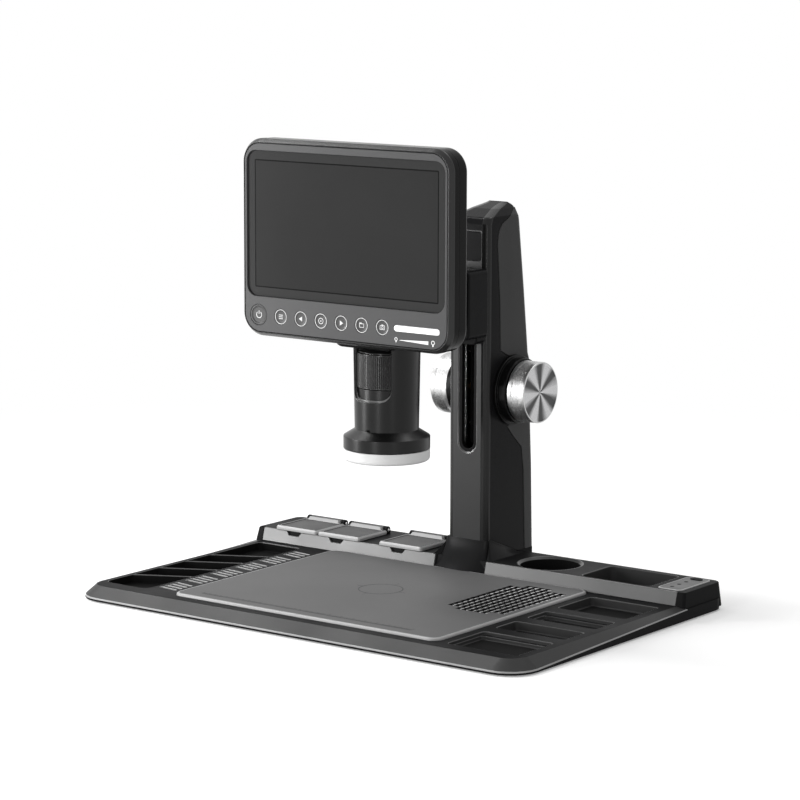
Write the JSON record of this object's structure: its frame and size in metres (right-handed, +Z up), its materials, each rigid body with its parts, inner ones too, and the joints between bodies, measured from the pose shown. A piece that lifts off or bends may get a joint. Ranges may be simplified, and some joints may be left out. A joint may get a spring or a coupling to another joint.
{
  "type": "digital microscope with screen",
  "caption": "Bench microscope with a built-in screen on a rack-and-pinion column, ring light, and a wide base that is a parts tray with a work pad and flip lids.",
  "frame": {"origin": "middle of the footprint's bounding box, on the surface that the rubber feet stand on", "axes": "+X to the right as seen by someone facing the screen, +Y from the screen towards the column's back, +Z up"},
  "size_m": [0.381, 0.276, 0.3251],
  "materials": {
    "base_black": "fine texture",
    "rubber_black": "matt",
    "steel": "satin",
    "copper": "lacquered copper wire",
    "pad_grey": "matt silicone",
    "trim_grey": "satin",
    "lid_grey": "satin",
    "plate_grey": "satin",
    "light_white": "translucent",
    "board_green": "solder mask",
    "column_black": "satin black paint",
    "cover_grey": "satin dark grey paint",
    "ground_steel": "ground",
    "collar_black": "gloss black",
    "bronze": "sintered",
    "gear_brass": "machined",
    "knob_aluminium": "turned, knurled rim",
    "barrel_black": "gloss black anodised",
    "ring_black": "knurled",
    "tube_bright": "black chrome",
    "glass_clear": "coated",
    "board_white": "white solder mask",
    "diffuser_white": "opal",
    "bezel_grey": "satin dark grey",
    "shell_black": "gloss black",
    "window_glass": "tinted",
    "lcd_dark": "matt",
    "battery_blue": "shrink sleeve",
    "key_dark": "satin"
  },
  "bodies": {
    "stand": {"base_shell": "base_black", "base_cover": "base_black", "base_feet": "rubber_black", "base_screws": "steel", "ballast_plate": "steel", "charging_coil": "copper", "work_pad": "pad_grey", "deck_trim_left": "trim_grey", "deck_trim_right": "trim_grey", "lid_pins": "ground_steel", "control_plate": "plate_grey", "status_lights": "light_white", "control_board": "board_green", "power_inlet": "steel", "foot_skirt": "column_black", "column_body": "column_black", "column_cover": "cover_grey", "column_bolts": "steel", "guide_rods": "ground_steel", "knob_collars": "collar_black", "shaft_bushings": "bronze", "lock_nut": "gear_brass"},
    "lid_1": {"lid_1": "lid_grey"},
    "lid_2": {"lid_2": "lid_grey"},
    "lid_3": {"lid_3": "lid_grey"},
    "base_button": {"base_button": "key_dark"},
    "knobs": {"knob_shaft": "ground_steel", "pinion": "gear_brass", "knob_left": "knob_aluminium", "knob_right": "knob_aluminium"},
    "lock_knob": {"lock_knob": "collar_black"},
    "head": {"carriage": "column_black", "gear_rack": "gear_brass", "head_arm": "column_black", "camera_housing": "shell_black", "camera_board": "board_green", "barrel_sleeve": "barrel_black", "light_flange": "barrel_black", "led_board": "board_white", "light_diffuser": "diffuser_white", "display_bezel": "bezel_grey", "display_shell": "shell_black", "screen_window": "window_glass", "lcd_panel": "lcd_dark", "main_board": "board_green", "battery": "battery_blue", "light_bar": "light_white", "display_screws": "steel"},
    "focus_ring": {"focus_ring": "ring_black"},
    "lens": {"lens_tube": "tube_bright", "objective_lens": "glass_clear"},
    "power_button": {"power_button": "key_dark"},
    "key_menu": {"key_menu": "key_dark"},
    "key_left": {"key_left": "key_dark"},
    "key_select": {"key_select": "key_dark"},
    "key_right": {"key_right": "key_dark"},
    "key_files": {"key_files": "key_dark"},
    "key_camera": {"key_camera": "key_dark"}
  },
  "joints": [
    {"name": "head_slide", "type": "slide", "parent": "stand", "child": "head", "axis": [0, 0, 1], "range_m": [-0.08, 0.004]},
    {"name": "knob_turn", "type": "hinge", "parent": "stand", "child": "knobs", "pos_m": [0, 0.10446, 0.1388], "axis": [1, 0, 0], "range_deg": [-30, 575]},
    {"name": "lock_turn", "type": "hinge", "parent": "stand", "child": "lock_knob", "pos_m": [0, 0.12704, 0.1666], "axis": [0, 1, 0], "range_deg": [-180, 180]},
    {"name": "focus_turn", "type": "hinge", "parent": "head", "child": "focus_ring", "pos_m": [0, -0.02354, 0.154], "axis": [0, 0, 1], "range_deg": [-121, 121]},
    {"name": "lens_focus", "type": "slide", "parent": "head", "child": "lens", "axis": [0, 0, 1], "range_m": [-0.002, 0.002]},
    {"name": "base_button_press", "type": "slide", "parent": "stand", "child": "base_button", "axis": [0, 0, -1], "range_m": [0, 0.0006], "stiffness_N_per_m": 300, "springref_m": -0.0004},
    {"name": "lid_1_hinge", "type": "hinge", "parent": "stand", "child": "lid_1", "pos_m": [-0.1513, 0.1024, 0.02245], "axis": [-1, 0, 0], "range_deg": [0, 100]},
    {"name": "lid_2_hinge", "type": "hinge", "parent": "stand", "child": "lid_2", "pos_m": [-0.1113, 0.1024, 0.02245], "axis": [-1, 0, 0], "range_deg": [0, 100]},
    {"name": "lid_3_hinge", "type": "hinge", "parent": "stand", "child": "lid_3", "pos_m": [-0.0545, 0.1024, 0.02245], "axis": [-1, 0, 0], "range_deg": [0, 100]},
    {"name": "power_button_press", "type": "slide", "parent": "head", "child": "power_button", "axis": [0, 1, 0], "range_m": [0, 0.0008], "stiffness_N_per_m": 300, "springref_m": -0.0004},
    {"name": "key_menu_press", "type": "slide", "parent": "head", "child": "key_menu", "axis": [0, 1, 0], "range_m": [0, 0.0008], "stiffness_N_per_m": 300, "springref_m": -0.0004},
    {"name": "key_left_press", "type": "slide", "parent": "head", "child": "key_left", "axis": [0, 1, 0], "range_m": [0, 0.0008], "stiffness_N_per_m": 300, "springref_m": -0.0004},
    {"name": "key_select_press", "type": "slide", "parent": "head", "child": "key_select", "axis": [0, 1, 0], "range_m": [0, 0.0008], "stiffness_N_per_m": 300, "springref_m": -0.0004},
    {"name": "key_right_press", "type": "slide", "parent": "head", "child": "key_right", "axis": [0, 1, 0], "range_m": [0, 0.0008], "stiffness_N_per_m": 300, "springref_m": -0.0004},
    {"name": "key_files_press", "type": "slide", "parent": "head", "child": "key_files", "axis": [0, 1, 0], "range_m": [0, 0.0008], "stiffness_N_per_m": 300, "springref_m": -0.0004},
    {"name": "key_camera_press", "type": "slide", "parent": "head", "child": "key_camera", "axis": [0, 1, 0], "range_m": [0, 0.0008], "stiffness_N_per_m": 300, "springref_m": -0.0004}
  ],
  "couplings": [
    {"joint": "knob_turn", "follows": "head_slide", "rad_per_m": -125},
    {"joint": "focus_turn", "follows": "lens_focus", "rad_per_m": 1047.2}
  ]
}
